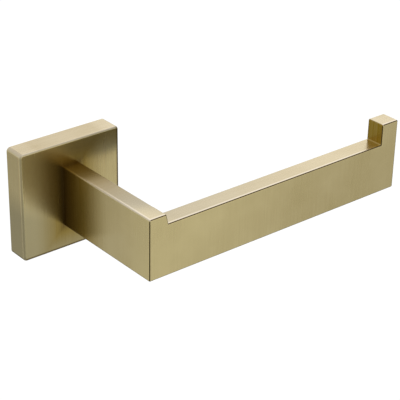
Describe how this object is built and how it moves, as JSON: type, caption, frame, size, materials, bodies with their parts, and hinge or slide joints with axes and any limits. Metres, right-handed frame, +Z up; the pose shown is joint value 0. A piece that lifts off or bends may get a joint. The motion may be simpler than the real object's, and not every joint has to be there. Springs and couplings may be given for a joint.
{
  "type": "toilet paper holder",
  "caption": "Square wall-mounted toilet paper holder: a flange, a flat post, a flat roll bar and an upturned end stop, in brushed brass.",
  "frame": {"origin": "centre of the flange's back, on the wall plane", "axes": "+X along the roll bar, away from the post; +Y into the wall, so the front faces -Y; +Z up"},
  "size_m": [0.16, 0.07, 0.05],
  "materials": {
    "brushed_brass": "fine satin brushed, pale antique gold",
    "die_cast_zinc": "as die-cast zinc alloy, dull grey",
    "zinc_plated_steel": "bright zinc plate on pressed steel",
    "screw_steel": "plain stainless screws"
  },
  "bodies": {
    "holder": {"flange_cover": "brushed_brass", "hanger_block": "die_cast_zinc", "wall_bracket": "zinc_plated_steel", "post_tube": "brushed_brass", "corner_block": "brushed_brass", "roll_bar_tube": "brushed_brass", "end_stop": "brushed_brass", "post_end_block": "screw_steel", "post_screws": "screw_steel"},
    "set_screw": {"set_screw": "screw_steel"}
  },
  "joints": [
    {"name": "set_screw_travel", "type": "slide", "parent": "holder", "child": "set_screw", "axis": [0, 0, 1], "range_m": [-0.004, 0]}
  ]
}
